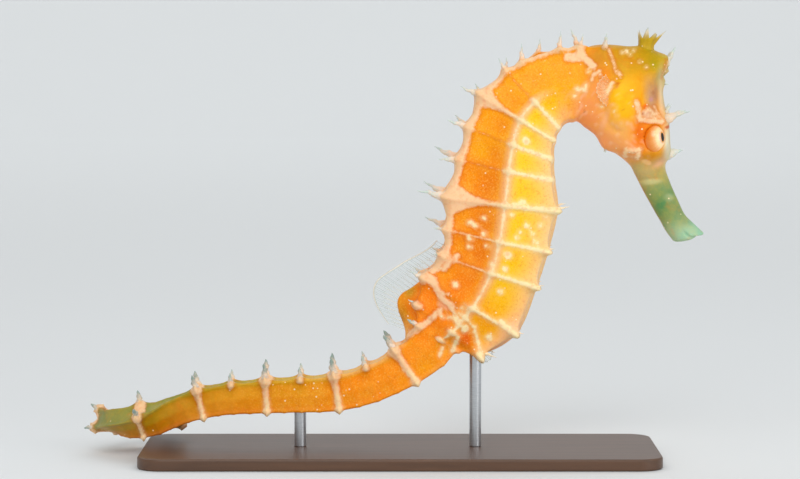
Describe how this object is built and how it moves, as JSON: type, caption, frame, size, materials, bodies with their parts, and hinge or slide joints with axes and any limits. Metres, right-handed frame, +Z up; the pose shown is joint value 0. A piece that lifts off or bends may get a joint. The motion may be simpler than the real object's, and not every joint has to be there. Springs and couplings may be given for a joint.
{
  "type": "thorny seahorse on a display stand",
  "caption": "Life-size still model of a thorny seahorse swimming with its head bent down and its tail trailing into a level coil, held by two rods on a flat base",
  "frame": {"origin": "middle of the flat underside of the stand's base", "axes": "+Z up; +X is the way the animal faces, along the base's long side; +Y is to the animal's left, so its right side faces -Y"},
  "size_m": [0.1053, 0.0316, 0.0722],
  "materials": {
    "skin": "moist satin skin over bony plates, orange with pale ridges and bands",
    "eye": "glossy wet eye, pale gold with a black pupil",
    "fin": "thin translucent membrane with fine pale rays",
    "base": "dark oiled wood, satin",
    "rod": "fine brushed steel"
  },
  "bodies": {
    "root": {"snout": "skin", "head": "skin", "coronet": "skin", "neck": "skin", "trunk_upper": "skin", "trunk_lower": "skin", "tail_1": "skin", "tail_2": "skin", "tail_3": "skin", "tail_4": "skin", "tail_5": "skin", "eye_right": "eye", "eye_left": "eye", "pectoral_fin_right": "fin", "pectoral_fin_left": "fin", "dorsal_fin": "fin", "anal_fin": "fin", "stand_base": "base", "stand_rod_trunk": "rod", "stand_rod_tail": "rod"}
  },
  "joints": []
}
